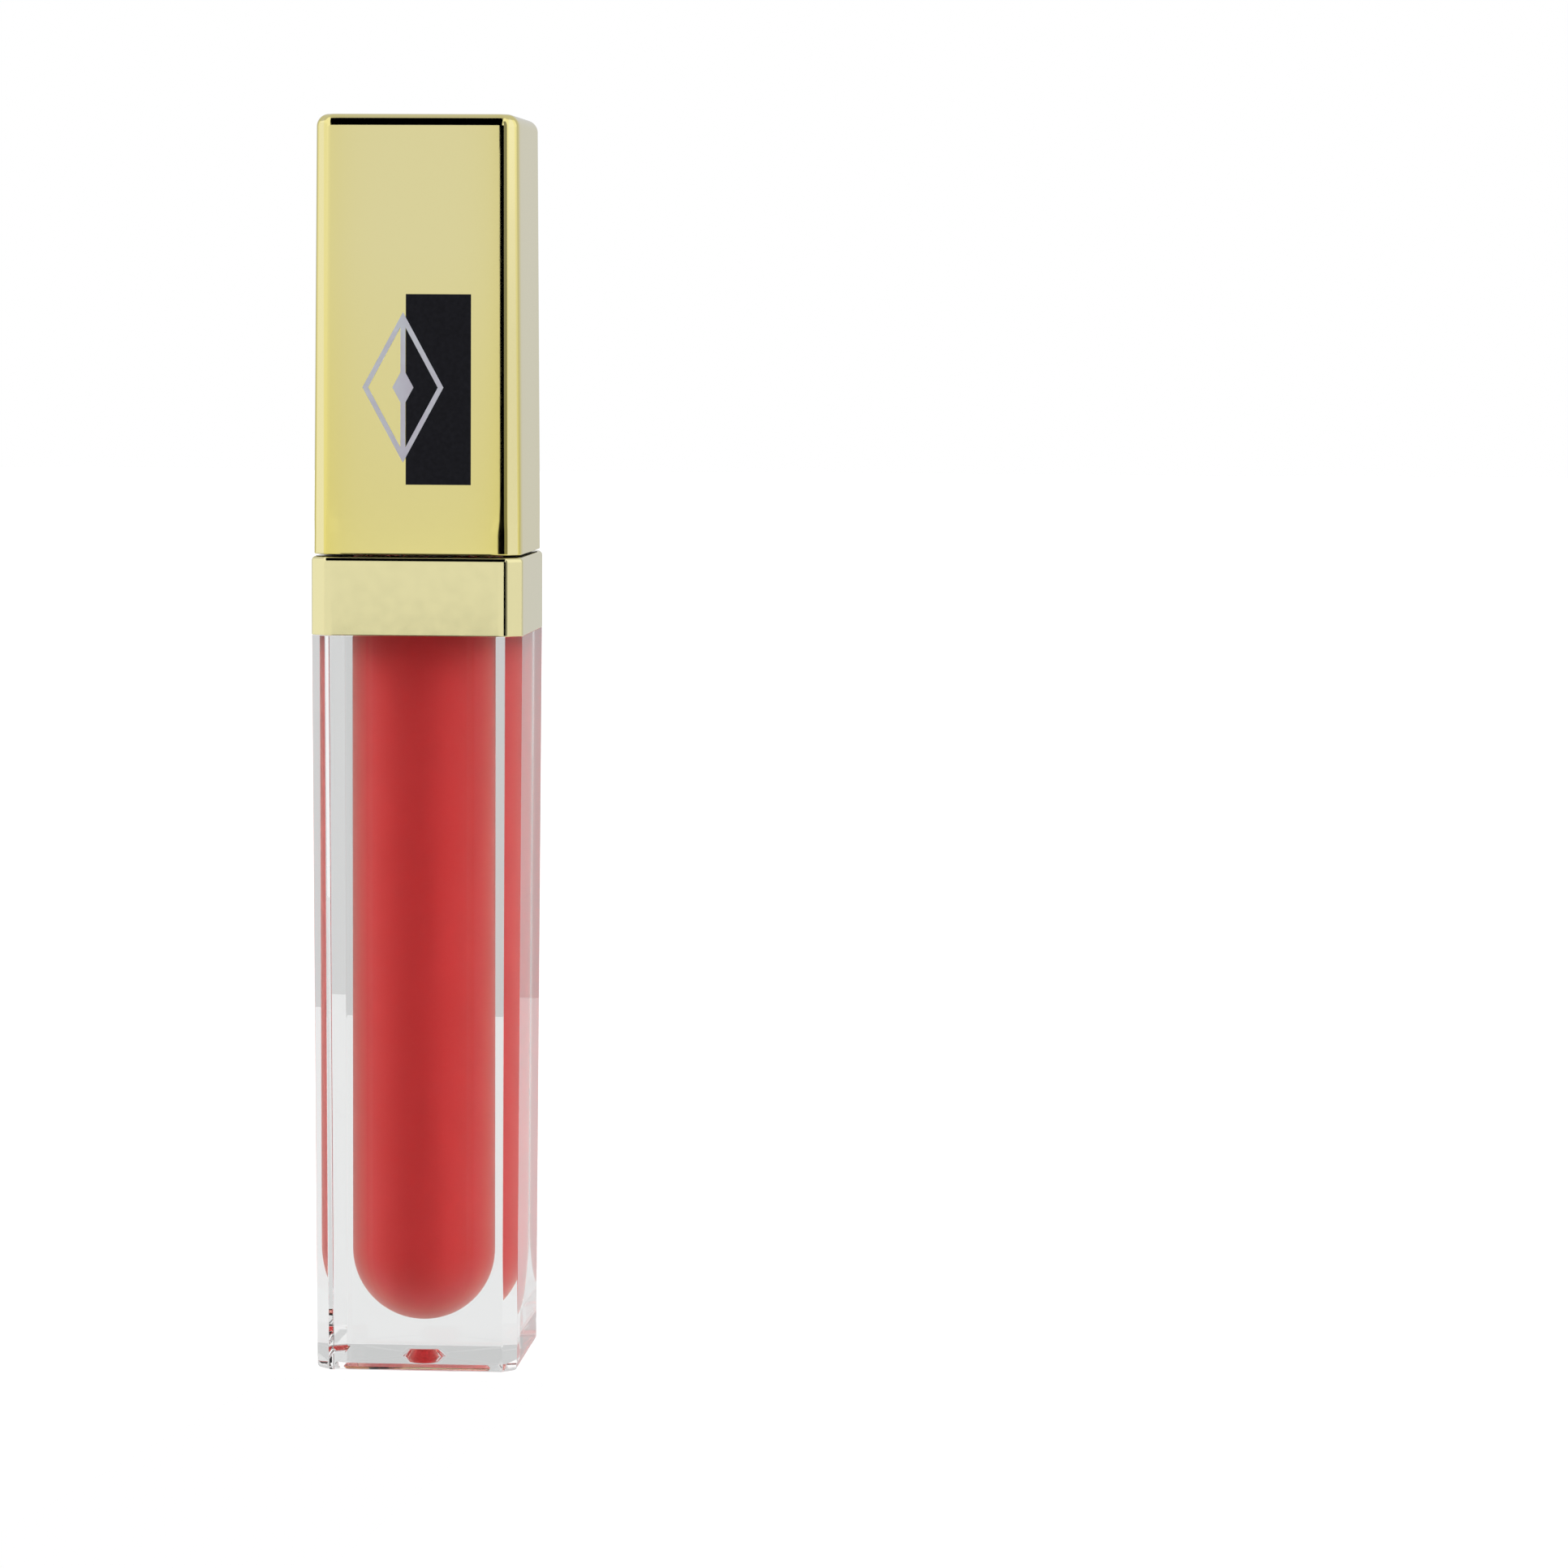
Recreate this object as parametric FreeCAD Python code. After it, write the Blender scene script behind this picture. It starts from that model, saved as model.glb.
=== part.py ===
import FreeCAD, Part

# Lip gloss tube: a thick-walled square clear bottle with a round cavity, a plated collar over its
# shoulder, and a plated square screw cap that carries a wand with a flocked doe-foot tip.
# Millimetres, +Z up. The origin is the centre of the base, and the front face looks along -Y.

import math
import os

from FreeCAD import Vector

# ---------------------------------------------------------------- driving dimensions

# Every square outline is (side, corner): the side across the flats and the 45 degree corner's leg.
BASE_OUTLINE = (17.26, 1.12)  # the bottle tapers towards its base, as the mould needs
BODY_TOP_OUTLINE = (18.00, 1.29)
SHOULDER_OUTLINE = (15.90, 1.00)  # the step that keys the collar
COLLAR_OUTLINE = (18.11, 1.31)
COLLAR_SOCKET = (16.10, 1.05)
CAP_MOUTH_OUTLINE = (17.80, 1.31)
CAP_TOP_OUTLINE = (17.26, 1.14)
CAP_POCKET_MOUTH = (15.50, 1.00)
CAP_POCKET_TOP = (15.10, 0.90)
INNER_PLATE_OUTLINE = (15.20, 0.95)

# Heights of the main faces.
BODY_TOP = 63.20  # the ledge that the collar sits on
SHOULDER_TOP = 66.40
COLLAR_TOP = 69.92
CAP_GAP = 0.16  # the line that shows between collar and cap
CAP_MOUTH = COLLAR_TOP + CAP_GAP
NECK_TOP = 79.00
TOTAL_HEIGHT = 107.30

# Bottle.
CAVITY_RADIUS = 6.15
CAVITY_FLOOR = 3.65
NECK_RADIUS = 6.00
NECK_BORE_RADIUS = 4.60
BODY_EDGE_BLEND = 0.14
BASE_BLEND = 0.40
FOOT_RECESS = (13.90, 0.85)  # the base is hollowed, so that the bottle stands on its rim
FOOT_RECESS_DEPTH = 0.45
GATE_RADIUS = 2.15  # the dimple that hides the mould's gate
GATE_DEPTH = 0.65
GATE_SLOPE = 40.0
GATE_BLEND = 0.50
BEAD_PROUD = 0.50  # the bead that the collar snaps under
BEAD_HEIGHT = 0.70

# Screw thread, right-handed.
PITCH = 2.50
NECK_THREAD_START = 72.00
NECK_THREAD_TURNS = 1.50
CAP_THREAD_TURNS = 1.25
CAP_THREAD_FIRST_ANGLE = 100.0  # degrees round from the start of the neck's thread
THREAD_DEPTH = 0.75
THREAD_ROOT_WIDTH = 1.40
THREAD_CREST_WIDTH = 0.60
THREAD_SINK = 0.15  # how far a ridge is set into its wall

# Gold-coloured shells.
COLLAR_PLATE = 1.20
COLLAR_EDGE_BLEND = 0.50
COLLAR_RIM_BLEND = 0.42
CAP_EDGE_BLEND = 0.95
CAP_TOP_BLEND = 1.05
CAP_TOP_WALL = 1.20
SHELL_MOUTH_BLEND = 0.10

# Inner cap.
SKIRT_RADIUS = 7.45
SKIRT_BORE_RADIUS = 6.95
SKIRT_BOTTOM = CAP_MOUTH + 0.50
PLATE_UNDERSIDE = 80.65
PLATE_THICKNESS = 1.35
BOSS_RADIUS = 4.00
BOSS_TOP = 88.00
RIB_THICKNESS = 0.90
RIB_TOP = 86.80

# Seals.
WIPER_FLANGE = (5.60, 0.80)  # radius, thickness
WIPER_PLUG_RADIUS = 4.58
WIPER_ORIFICE_RADIUS = 2.05
WIPER_TIP = 69.80
SEAL_GAP = 0.05
WASHER_RADII = (3.20, 6.10)
O_RING = (2.50, 0.46)  # ring radius, section radius

# Wand.
STEM_RADIUS = 1.95
STEM_HEAD_RADIUS = 2.52
STEM_HEAD_BOTTOM = 83.20
STEM_END = 17.80
PLUG_RADIUS = 1.05
PLUG_LENGTH = 5.00
TIP_BOTTOM = 5.50
FLOCK_THICKNESS = 0.32

# Lip gloss.
GLOSS_LEVEL = 64.00
CHANNEL_RADIUS = 2.20

# Print on the cap's front face, as x and z limits.
PANEL_X = (-0.81, 4.73)
PANEL_Z = (76.03, 92.13)
PANEL_INK = 0.05
MOTIF_INK = 0.07
MOTIF_CENTRE = (-1.05, 84.25)
MOTIF_HALF_WIDTH = 3.45
MOTIF_HALF_HEIGHT = 6.35
MOTIF_LINE = 0.42
MOTIF_GEM_SCALE = 0.26

OUT = "parts"


# ---------------------------------------------------------------- helpers

def square_points(outline, z):
    """The eight corners of a square with 45 degree corners, anticlockwise seen from above."""
    side, corner = outline
    half, flat = side / 2, side / 2 - corner
    quarter = [(half, -flat), (half, flat)]
    points = []
    for turn in range(4):
        angle = math.radians(90 * turn)
        c, s = round(math.cos(angle)), round(math.sin(angle))
        points += [Vector(x * c - y * s, x * s + y * c, z) for x, y in quarter]
    return points


def block(lower, lower_z, upper, upper_z):
    """A solid with flat sides between two square outlines."""
    low, high = square_points(lower, lower_z), square_points(upper, upper_z)
    rings = [low[::-1], high]
    for i in range(len(low)):
        j = (i + 1) % len(low)
        rings.append([low[i], low[j], high[j], high[i]])
    faces = [Part.Face(Part.makePolygon(ring + ring[:1])) for ring in rings]
    solid = Part.makeSolid(Part.makeShell(faces))
    if solid.Volume < 0:
        solid.reverse()
    return solid


def upright(edge):
    """True for an edge that runs up the part."""
    a, b = edge.Vertexes[0].Point, edge.Vertexes[-1].Point
    return abs(a.z - b.z) > 0.5 * edge.Length


def at_height(z):
    """A test for edges that lie in the plane at height z."""
    def test(edge):
        return edge.BoundBox.ZMax - z < 1e-4 and z - edge.BoundBox.ZMin < 1e-4
    return test


def blended(solid, test, radius):
    """The solid with the edges that pass the test rounded."""
    return solid.makeFillet(radius, [e for e in solid.Edges if test(e)])


def turned(points):
    """A solid of revolution about Z from (radius, z) points; a third value makes an arc's middle."""
    edges, start, middle = [], None, None
    for p in points + points[:1]:
        here = Vector(p[0], 0, p[1])
        if len(p) == 3:
            middle = here
            continue
        if start is not None:
            if middle is not None:
                edges.append(Part.Arc(start, middle, here).toShape())
            elif (here - start).Length > 1e-9:
                edges.append(Part.LineSegment(start, here).toShape())
        start, middle = here, None
    face = Part.Face(Part.Wire(edges))
    solid = face.revolve(Vector(0, 0, 0), Vector(0, 0, 1), 360)
    if solid.Volume < 0:
        solid.reverse()
    return solid


def cylinder(radius, bottom, top):
    return Part.makeCylinder(radius, top - bottom, Vector(0, 0, bottom))


def thread_ridge(wall_radius, outward, start_z, start_angle, turns):
    """A helical ridge standing out of, or into, a round wall."""
    sign = 1 if outward else -1
    sunk = wall_radius - sign * THREAD_SINK
    crest = wall_radius + sign * THREAD_DEPTH
    sink_width = THREAD_ROOT_WIDTH + (THREAD_ROOT_WIDTH - THREAD_CREST_WIDTH) * THREAD_SINK / THREAD_DEPTH
    section = [
        Vector(sunk, 0, -sink_width / 2),
        Vector(crest, 0, -THREAD_CREST_WIDTH / 2),
        Vector(crest, 0, THREAD_CREST_WIDTH / 2),
        Vector(sunk, 0, sink_width / 2),
    ]
    profile = Part.makePolygon(section + section[:1])
    helix = Part.Wire(Part.makeHelix(PITCH, PITCH * turns, wall_radius).Edges)
    ridge = Part.Solid(helix.makePipeShell([profile], True, True))
    if ridge.Volume < 0:
        ridge.reverse()
    ridge.rotate(Vector(0, 0, 0), Vector(0, 0, 1), start_angle)
    ridge.translate(Vector(0, 0, start_z))
    return ridge


def one_solid(shape):
    """The shape's single solid, with seams between coplanar faces removed."""
    clean = shape.removeSplitter()
    return clean.Solids[0] if len(clean.Solids) == 1 else clean


# ---------------------------------------------------------------- bottle group

def cavity_profile(top):
    """Half outline of the cavity: a round end, a straight wall, and the way in through the neck."""
    centre = CAVITY_FLOOR + CAVITY_RADIUS
    bend = CAVITY_RADIUS * math.sqrt(0.5)
    return [
        (0, CAVITY_FLOOR),
        (bend, centre - bend, "arc"),
        (CAVITY_RADIUS, centre),
        (CAVITY_RADIUS, GLOSS_LEVEL + 0.30),
        (NECK_BORE_RADIUS, SHOULDER_TOP + 0.40),
        (NECK_BORE_RADIUS, top),
        (0, top),
    ]


def make_base_hollow():
    """The square hollow under the base with the gate's dimple in its roof."""
    side, corner = FOOT_RECESS
    mouth = (side + 2 * FOOT_RECESS_DEPTH, corner)
    hollow = block(mouth, 0, FOOT_RECESS, FOOT_RECESS_DEPTH)
    slope = math.radians(GATE_SLOPE)
    straight = GATE_DEPTH - GATE_BLEND * (1 - math.cos(slope))
    flat_radius = GATE_RADIUS - straight / math.tan(slope) - GATE_BLEND * math.sin(slope)
    roof = FOOT_RECESS_DEPTH + GATE_DEPTH
    half = slope / 2
    dimple = turned([
        (0, 0),
        (GATE_RADIUS, 0),
        (GATE_RADIUS, FOOT_RECESS_DEPTH),
        (flat_radius + GATE_BLEND * math.sin(slope), roof - GATE_BLEND * (1 - math.cos(slope))),
        (flat_radius + GATE_BLEND * math.sin(half), roof - GATE_BLEND * (1 - math.cos(half)), "arc"),
        (flat_radius, roof),
        (0, roof),
    ])
    return hollow.fuse(dimple)


def make_bottle():
    body = block(BASE_OUTLINE, 0, BODY_TOP_OUTLINE, BODY_TOP)
    body = blended(body, upright, BODY_EDGE_BLEND)
    body = blended(body, at_height(0), BASE_BLEND)

    shoulder = block(SHOULDER_OUTLINE, BODY_TOP, SHOULDER_OUTLINE, SHOULDER_TOP)
    shoulder = blended(shoulder, at_height(SHOULDER_TOP), 0.40)

    rim = 0.30
    bead = COLLAR_TOP + BEAD_HEIGHT
    neck = turned([
        (0, BODY_TOP),
        (NECK_RADIUS, BODY_TOP),
        (NECK_RADIUS, COLLAR_TOP + 0.02),
        (NECK_RADIUS + BEAD_PROUD, COLLAR_TOP + 0.12),
        (NECK_RADIUS + BEAD_PROUD, COLLAR_TOP + 0.25),
        (NECK_RADIUS, bead),
        (NECK_RADIUS, NECK_TOP - rim),
        (NECK_RADIUS - rim, NECK_TOP),
        (0, NECK_TOP),
    ])
    thread = thread_ridge(NECK_RADIUS, True, NECK_THREAD_START, 0, NECK_THREAD_TURNS)
    outside = body.fuse([shoulder, neck, thread])

    cavity = turned(cavity_profile(NECK_TOP + 1))
    return one_solid(outside.cut(cavity).cut(make_base_hollow()))


def make_gloss():
    """The filling, with the way that the wand takes through it left open."""
    centre = CAVITY_FLOOR + CAVITY_RADIUS
    bend = CAVITY_RADIUS * math.sqrt(0.5)
    floor = TIP_BOTTOM - 0.30
    corner = 0.50
    return turned([
        (0, CAVITY_FLOOR),
        (bend, centre - bend, "arc"),
        (CAVITY_RADIUS, centre),
        (CAVITY_RADIUS, GLOSS_LEVEL),
        (CHANNEL_RADIUS, GLOSS_LEVEL),
        (CHANNEL_RADIUS, floor + corner),
        (CHANNEL_RADIUS - corner, floor),
        (0, floor),
    ])


def make_wiper():
    """The soft plug in the neck, with a thin lip that strips the wand."""
    flange_radius, flange = WIPER_FLANGE
    top = NECK_TOP + flange
    lip_top = WIPER_TIP + 2.40
    groove = 0.15
    outline = [
        (WIPER_ORIFICE_RADIUS, WIPER_TIP),
        (WIPER_ORIFICE_RADIUS + 0.40, WIPER_TIP),
        (WIPER_PLUG_RADIUS - 0.35, lip_top - 0.80),
        (WIPER_PLUG_RADIUS, lip_top),
    ]
    for z in (73.6, 75.6):
        outline += [
            (WIPER_PLUG_RADIUS, z),
            (WIPER_PLUG_RADIUS - groove, z + groove),
            (WIPER_PLUG_RADIUS - groove, z + 0.6),
            (WIPER_PLUG_RADIUS, z + 0.6 + groove),
        ]
    outline += [
        (WIPER_PLUG_RADIUS, NECK_TOP),
        (flange_radius, NECK_TOP),
        (flange_radius, top - 0.20),
        (flange_radius - 0.20, top),
        (3.80, top),
        (3.45, top - 0.50),
        (3.35, lip_top + 0.60),
        (WIPER_ORIFICE_RADIUS, WIPER_TIP + 0.25),
    ]
    return turned(outline)


def make_collar():
    shell = block(COLLAR_OUTLINE, BODY_TOP, COLLAR_OUTLINE, COLLAR_TOP)
    shell = blended(shell, upright, COLLAR_EDGE_BLEND)
    shell = blended(shell, at_height(COLLAR_TOP), COLLAR_RIM_BLEND)
    shell = blended(shell, at_height(BODY_TOP), SHELL_MOUTH_BLEND)
    socket = block(COLLAR_SOCKET, BODY_TOP - 1, COLLAR_SOCKET, COLLAR_TOP - COLLAR_PLATE)
    hole = cylinder(NECK_RADIUS + 0.10, BODY_TOP, COLLAR_TOP + 1)
    return one_solid(shell.cut(socket).cut(hole))


# ---------------------------------------------------------------- cap group

def make_cap_shell():
    shell = block(CAP_MOUTH_OUTLINE, CAP_MOUTH, CAP_TOP_OUTLINE, TOTAL_HEIGHT)
    shell = blended(shell, upright, CAP_EDGE_BLEND)
    shell = blended(shell, at_height(TOTAL_HEIGHT), CAP_TOP_BLEND)
    shell = blended(shell, at_height(CAP_MOUTH), SHELL_MOUTH_BLEND)
    pocket = block(CAP_POCKET_MOUTH, CAP_MOUTH - 0.001, CAP_POCKET_TOP, TOTAL_HEIGHT - CAP_TOP_WALL)
    return one_solid(shell.cut(pocket))


def make_inner_cap():
    plate_top = PLATE_UNDERSIDE + PLATE_THICKNESS
    plate = block(INNER_PLATE_OUTLINE, PLATE_UNDERSIDE, INNER_PLATE_OUTLINE, plate_top)
    skirt = turned([
        (SKIRT_BORE_RADIUS + 0.15, SKIRT_BOTTOM),
        (SKIRT_RADIUS, SKIRT_BOTTOM),
        (SKIRT_RADIUS, PLATE_UNDERSIDE + 0.5),
        (SKIRT_BORE_RADIUS, PLATE_UNDERSIDE + 0.5),
        (SKIRT_BORE_RADIUS, SKIRT_BOTTOM + 0.15),
    ])
    boss = cylinder(BOSS_RADIUS, plate_top - 0.2, BOSS_TOP)
    rib_reach = INNER_PLATE_OUTLINE[0] - 0.20
    ribs = [
        Part.makeBox(x, y, RIB_TOP - plate_top + 0.2, Vector(-x / 2, -y / 2, plate_top - 0.2))
        for x, y in ((rib_reach, RIB_THICKNESS), (RIB_THICKNESS, rib_reach))
    ]
    first = CAP_THREAD_FIRST_ANGLE
    start_z = NECK_THREAD_START - PITCH / 2 + PITCH * first / 360
    thread = thread_ridge(SKIRT_BORE_RADIUS, False, start_z, first, CAP_THREAD_TURNS)
    body = plate.fuse([skirt, boss, thread] + ribs)
    shank_hole = cylinder(STEM_RADIUS + 0.02, PLATE_UNDERSIDE - 1, STEM_HEAD_BOTTOM + 0.1)
    head_hole = cylinder(STEM_HEAD_RADIUS + 0.02, STEM_HEAD_BOTTOM, BOSS_TOP + 1)
    return one_solid(body.cut(shank_hole).cut(head_hole))


def make_liner_washer():
    inner, outer = WASHER_RADII
    bottom = NECK_TOP + WIPER_FLANGE[1] + SEAL_GAP
    top = PLATE_UNDERSIDE - SEAL_GAP
    return turned([(inner, bottom), (outer, bottom), (outer, top), (inner, top)])


def make_stem_o_ring():
    ring, section = O_RING
    return Part.makeTorus(ring, section, Vector(0, 0, PLATE_UNDERSIDE - SEAL_GAP - section))


def make_stem():
    """The wand's rod: a ribbed head that is pressed into the boss, and a socket for the tip."""
    head = [(0, BOSS_TOP - 0.20), (STEM_HEAD_RADIUS - 0.40, BOSS_TOP - 0.20), (STEM_HEAD_RADIUS, BOSS_TOP - 0.60)]
    for z in (86.4, 85.2, 84.0):
        head += [
            (STEM_HEAD_RADIUS, z + 0.35),
            (STEM_HEAD_RADIUS - 0.20, z + 0.15),
            (STEM_HEAD_RADIUS - 0.20, z - 0.15),
            (STEM_HEAD_RADIUS, z - 0.35),
        ]
    shank = [
        (STEM_HEAD_RADIUS, STEM_HEAD_BOTTOM),
        (STEM_RADIUS, STEM_HEAD_BOTTOM),
        (STEM_RADIUS, STEM_END + 1.50),
        (STEM_RADIUS - 0.18, STEM_END),
        (PLUG_RADIUS + 0.02, STEM_END),
        (PLUG_RADIUS + 0.02, STEM_END + PLUG_LENGTH + 0.20),
        (0, STEM_END + PLUG_LENGTH + 0.20),
    ]
    return turned(head + shank)


def doe_foot(inset):
    """The slanted tip, or with an inset the core under its flock."""
    radius = STEM_RADIUS - inset
    bottom = TIP_BOTTOM + inset
    top = STEM_END
    waist = 1.45 - inset
    belly = bottom + 5.20
    nose = 0.62 * radius
    body = turned([
        (0, bottom),
        (nose * 0.80, bottom + nose * 0.38, "arc"),
        (nose * 1.18, bottom + nose * 1.25),
        (radius * 0.97, bottom + 3.00, "arc"),
        (radius, belly),
        (radius * 0.94, belly + 3.20, "arc"),
        (waist, top),
        (0, top),
    ])
    # The foot's flat face leans back from the tip to the belly's top on the front side.
    low = Vector(0, 0.30 * STEM_RADIUS + inset, TIP_BOTTOM)
    high = Vector(0, -STEM_RADIUS + inset, TIP_BOTTOM + 8.20)
    along = (high - low).normalize()
    away = Vector(0, -along.z, along.y)
    width, length = 8, 24
    origin = low - along * 6
    corners = [
        origin + Vector(-width / 2, 0, 0),
        origin + Vector(width / 2, 0, 0),
        origin + Vector(width / 2, 0, 0) + along * length,
        origin + Vector(-width / 2, 0, 0) + along * length,
    ]
    shaving = Part.Face(Part.makePolygon(corners + corners[:1])).extrude(away * 6)
    return one_solid(body.cut(shaving))


def make_applicator_core():
    plug = turned([
        (0, STEM_END - 0.5),
        (PLUG_RADIUS, STEM_END - 0.5),
        (PLUG_RADIUS, STEM_END + PLUG_LENGTH - 0.30),
        (PLUG_RADIUS - 0.30, STEM_END + PLUG_LENGTH),
        (0, STEM_END + PLUG_LENGTH),
    ])
    return one_solid(doe_foot(FLOCK_THICKNESS).fuse(plug))


def make_applicator_flock():
    return one_solid(doe_foot(0).cut(doe_foot(FLOCK_THICKNESS)))


def on_cap_front(x, z):
    """A point of the cap's leaning front face."""
    rise = (z - CAP_MOUTH) / (TOTAL_HEIGHT - CAP_MOUTH)
    half = (CAP_MOUTH_OUTLINE[0] + (CAP_TOP_OUTLINE[0] - CAP_MOUTH_OUTLINE[0]) * rise) / 2
    return Vector(x, -half, z)


def printed(outline, ink):
    """A layer of print of that thickness on the cap's front face."""
    ring = [on_cap_front(x, z) for x, z in outline]
    normal = (ring[1] - ring[0]).cross(ring[2] - ring[1]).normalize()
    if normal.y > 0:
        normal = normal * -1
    return Part.Face(Part.makePolygon(ring + ring[:1])).extrude(normal * ink)


def lozenge(scale_x, scale_z):
    x, z = MOTIF_CENTRE
    return [(x - scale_x, z), (x, z - scale_z), (x + scale_x, z), (x, z + scale_z)]


def make_panel():
    (x0, x1), (z0, z1) = PANEL_X, PANEL_Z
    return printed([(x0, z0), (x1, z0), (x1, z1), (x0, z1)], PANEL_INK)


def make_motif():
    """A plain lozenge outline with a small lozenge on its middle line, printed over the panel."""
    slope = math.hypot(MOTIF_HALF_WIDTH, MOTIF_HALF_HEIGHT)
    inner_x = MOTIF_HALF_WIDTH - MOTIF_LINE * slope / MOTIF_HALF_HEIGHT
    inner_z = MOTIF_HALF_HEIGHT - MOTIF_LINE * slope / MOTIF_HALF_WIDTH
    frame = printed(lozenge(MOTIF_HALF_WIDTH, MOTIF_HALF_HEIGHT), MOTIF_INK)
    frame = frame.cut(printed(lozenge(inner_x, inner_z), MOTIF_INK * 2))
    gem = lozenge(MOTIF_HALF_WIDTH * MOTIF_GEM_SCALE, MOTIF_HALF_HEIGHT * MOTIF_GEM_SCALE)
    (x, z), half_line = MOTIF_CENTRE, MOTIF_LINE / 2
    reach = inner_z + half_line
    left, right = x - half_line, x + half_line
    line = [(left, z - reach), (right, z - reach), (right, z + reach), (left, z + reach)]
    ink = frame.fuse([printed(gem, MOTIF_INK), printed(line, MOTIF_INK)])
    return one_solid(ink.cut(make_panel()))


# ---------------------------------------------------------------- export

PARTS = {
    "bottle": make_bottle,
    "lip_gloss": make_gloss,
    "wiper": make_wiper,
    "collar": make_collar,
    "cap_shell": make_cap_shell,
    "inner_cap": make_inner_cap,
    "liner_washer": make_liner_washer,
    "stem_o_ring": make_stem_o_ring,
    "wand_stem": make_stem,
    "applicator_core": make_applicator_core,
    "applicator_flock": make_applicator_flock,
    "cap_print_panel": make_panel,
    "cap_print_motif": make_motif,
}


def main():
    os.makedirs(OUT, exist_ok=True)
    for name, make in PARTS.items():
        shape = make()
        valid = shape.isValid() and all(s.isClosed() and s.Volume > 0 for s in shape.Solids)
        print(f"{name}: solids {len(shape.Solids)}, volume {shape.Volume:.2f} mm3, valid {valid}")
        shape.exportStep(os.path.join(OUT, name + ".step"))


main()
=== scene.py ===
"""A square lip gloss tube with a screw cap and a wand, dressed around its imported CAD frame."""

import math
import random

import bmesh
import bpy
from mathutils import Matrix, Vector


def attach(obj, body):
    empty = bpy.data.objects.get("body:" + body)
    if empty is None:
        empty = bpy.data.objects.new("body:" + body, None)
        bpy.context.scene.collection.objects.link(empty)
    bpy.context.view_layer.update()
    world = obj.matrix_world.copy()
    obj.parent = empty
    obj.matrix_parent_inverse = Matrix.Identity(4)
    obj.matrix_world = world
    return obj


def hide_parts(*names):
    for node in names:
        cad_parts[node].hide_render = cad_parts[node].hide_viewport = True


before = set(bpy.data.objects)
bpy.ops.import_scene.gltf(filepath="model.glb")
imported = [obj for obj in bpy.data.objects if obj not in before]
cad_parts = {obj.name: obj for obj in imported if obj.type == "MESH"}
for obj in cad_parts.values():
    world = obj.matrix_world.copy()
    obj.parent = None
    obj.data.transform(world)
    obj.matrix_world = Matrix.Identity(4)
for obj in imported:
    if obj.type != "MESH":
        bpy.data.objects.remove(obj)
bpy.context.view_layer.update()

MM = 0.001
BLACK = (0, 0, 0)
WHITE = (1, 1, 1)

# ---------------------------------------------------------------- shared shapes, in millimetres

# A square outline is (side, leg of its 45 degree corners).
BODY_BASE = (17.26, 1.12)
BODY_TOP = (18.00, 1.29)
SHOULDER = (15.90, 1.00)
COLLAR = (18.11, 1.31)
CAP_MOUTH = (17.80, 1.31)
CAP_TOP = (17.26, 1.14)

BODY_TOP_Z = 63.20
SHOULDER_TOP_Z = 66.40
COLLAR_TOP_Z = 69.92
CAP_MOUTH_Z = 70.08
NECK_TOP_Z = 79.00
TOTAL_Z = 107.30

CAVITY_RADIUS = 6.15
CAVITY_FLOOR_Z = 3.65
NECK_RADIUS = 6.00
NECK_BORE_RADIUS = 4.60
GLOSS_LEVEL_Z = 64.00
CHANNEL_RADIUS = 2.20


# ---------------------------------------------------------------- mesh helpers

def mix(a, b, t):
    return a + (b - a) * t


def clamp(t):
    return min(max(t, 0.0), 1.0)


def smooth(t):
    """Eases t, from 0 to 1, so that it starts and ends level."""
    return t * t * (3 - 2 * t)


def square_ring(side, corner, z, blend=0.1, inset=0.0, lead=(0.0, 0.0), flat_steps=16, arc_steps=8):
    """Points, anticlockwise, of a square with 45 degree corners whose eight edges are blended.

    lead is (radius, angle): a slow curve of that radius turns each flat by that angle, in radians,
    before the tight blend starts. inset moves every side inwards by that much.
    """
    half = side / 2 - inset
    leg = corner - (2 - math.sqrt(2)) * inset
    tight = max(blend - inset, 0.02)
    slow, turn = lead
    slow = max(slow, tight)
    foot = half - leg - tight * math.sqrt(2) + slow - (slow - tight) * (math.cos(turn) + math.sin(turn))
    eighth = [(half, foot * math.sin(math.pi / 2 * i / flat_steps)) for i in range(flat_steps)]
    lead_steps = 4
    for i in range(lead_steps):
        a = turn * i / lead_steps
        eighth.append((half - slow + slow * math.cos(a), foot + slow * math.sin(a)))
    cx = half - slow + (slow - tight) * math.cos(turn)
    cy = foot + (slow - tight) * math.sin(turn)
    for i in range(arc_steps + 1):
        a = turn + (math.pi / 4 - turn) * i / arc_steps
        eighth.append((cx + tight * math.cos(a), cy + tight * math.sin(a)))
    quarter = eighth + [(y, x) for x, y in reversed(eighth[1:])]
    points = []
    for k in range(4):
        c, s = round(math.cos(math.pi / 2 * k)), round(math.sin(math.pi / 2 * k))
        points += [Vector((x * c - y * s, x * s + y * c, z)) for x, y in quarter]
    return points


def round_ring(radius, z, like):
    """A circle whose points stand at the same bearings as those of another ring."""
    ring = []
    for p in like:
        flat = Vector((p.x, p.y, 0)).normalized()
        ring.append(Vector((flat.x * radius, flat.y * radius, z)))
    return ring


def outline_between(low, high, t):
    return (mix(low[0], high[0], t), mix(low[1], high[1], t))


def blend_steps(radius, steps):
    """(inset, rise) pairs of a quarter-round edge, from the side wall to the flat."""
    pairs = []
    for i in range(steps + 1):
        a = math.pi / 2 * i / steps
        pairs.append((radius * (1 - math.cos(a)), radius * math.sin(a)))
    return pairs


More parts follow.
